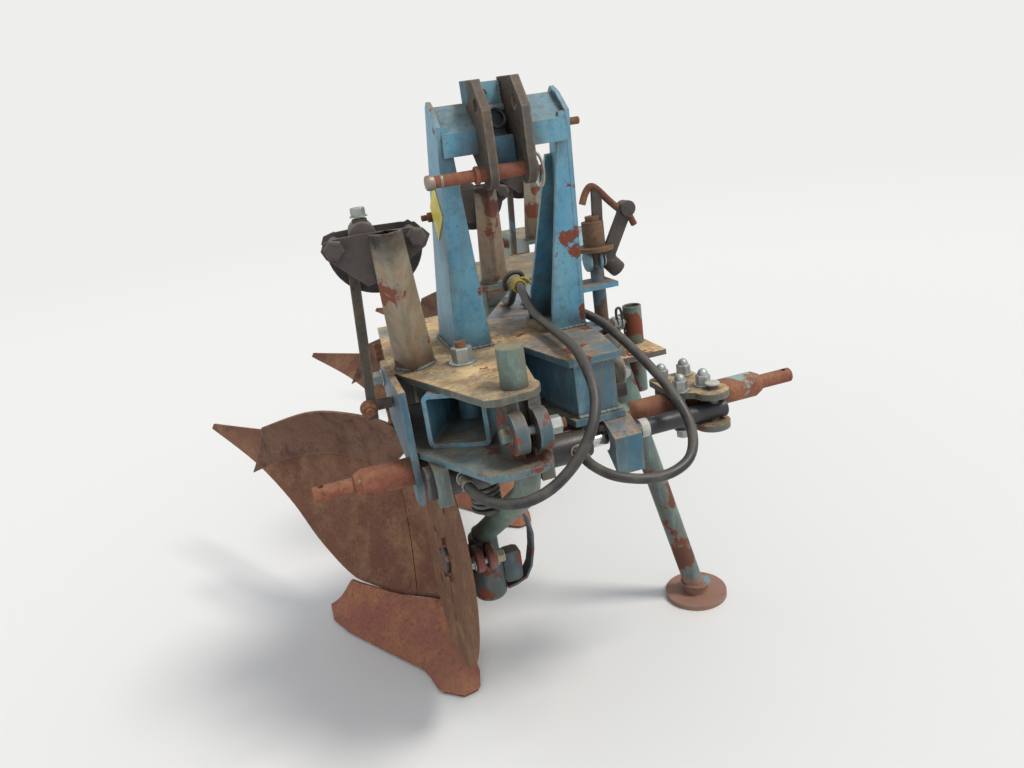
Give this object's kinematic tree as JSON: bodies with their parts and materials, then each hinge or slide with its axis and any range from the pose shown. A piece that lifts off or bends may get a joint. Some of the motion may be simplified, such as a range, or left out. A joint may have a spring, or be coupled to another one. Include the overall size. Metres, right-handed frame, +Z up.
{
  "type": "mounted moldboard plough",
  "caption": "Mounted moldboard plough on a diagonal square beam, with leaf-spring release legs, a disc coulter, a sliding cross shaft and a parking leg.",
  "frame": {"origin": "middle of the plough's outline, on the ground", "axes": "+X along the cross shaft towards the unploughed land, +Y rearwards, +Z up"},
  "size_m": [1.5043, 2.6736, 1.258],
  "materials": {
    "blue_paint": "worn satin enamel with rust",
    "bare_steel": "rusted bare steel",
    "worn_steel": "brown rust over ground steel",
    "black_paint": "worn satin black",
    "zinc_plate": "dull zinc",
    "hose_rubber": "matt"
  },
  "bodies": {
    "frame": {"main_beam": "blue_paint", "head_upper_plate": "blue_paint", "head_lower_plate": "blue_paint", "beam_spacer": "blue_paint", "coulter_clamp": "blue_paint", "coulter_stalk": "blue_paint", "coulter_hub": "blue_paint", "mast_leg_left": "blue_paint", "mast_leg_right": "blue_paint", "mast_cross_member": "blue_paint", "top_link_bracket": "blue_paint", "top_link_pin": "bare_steel", "frame_box": "blue_paint", "left_bearing_plate": "blue_paint", "right_bearing": "blue_paint", "cylinder_barrel": "black_paint", "cylinder_clamps": "zinc_plate", "rod_guide": "blue_paint", "stand_arm": "blue_paint", "stand_socket": "blue_paint", "stowage_tube": "blue_paint", "body_bracket_1": "blue_paint", "body_bracket_2": "blue_paint", "body_bracket_3": "blue_paint", "release_tower_1": "blue_paint", "release_tower_2": "blue_paint", "release_tower_3": "blue_paint", "release_heads": "black_paint", "leaf_springs": "black_paint", "pull_rods": "blue_paint", "body_leg_1": "blue_paint", "body_leg_2": "blue_paint", "body_leg_3": "blue_paint", "share_1": "worn_steel", "share_2": "worn_steel", "share_3": "worn_steel", "moldboard_1": "worn_steel", "moldboard_2": "worn_steel", "moldboard_3": "worn_steel", "trash_boards": "worn_steel", "landsides": "bare_steel", "depth_bracket": "blue_paint", "depth_spindle": "bare_steel", "depth_crank": "black_paint", "hose_1": "hose_rubber", "hose_2": "hose_rubber"},
    "disc": {"coulter_disc": "bare_steel"},
    "shaft": {"cross_shaft": "bare_steel", "shaft_clamp_plates": "blue_paint"},
    "rod": {"cylinder_rod": "black_paint"},
    "stand": {"stand_leg": "blue_paint"}
  },
  "joints": [
    {"name": "coulter_spin", "type": "hinge", "parent": "frame", "child": "disc", "pos_m": [-0.2293, -0.9515, 0.338], "axis": [0.9958, 0.0279, -0.0871], "continuous": true},
    {"name": "shaft_slide", "type": "slide", "parent": "frame", "child": "shaft", "axis": [1, 0, 0], "range_m": [-0.03, 0.04]},
    {"name": "rod_slide", "type": "slide", "parent": "frame", "child": "rod", "axis": [1, 0, 0], "range_m": [-0.03, 0.04]},
    {"name": "stand_slide", "type": "slide", "parent": "frame", "child": "stand", "axis": [-0.2419, 0, 0.9703], "range_m": [0, 0.15]}
  ],
  "couplings": [
    {"joint": "rod_slide", "follows": "shaft_slide", "ratio": 1}
  ]
}
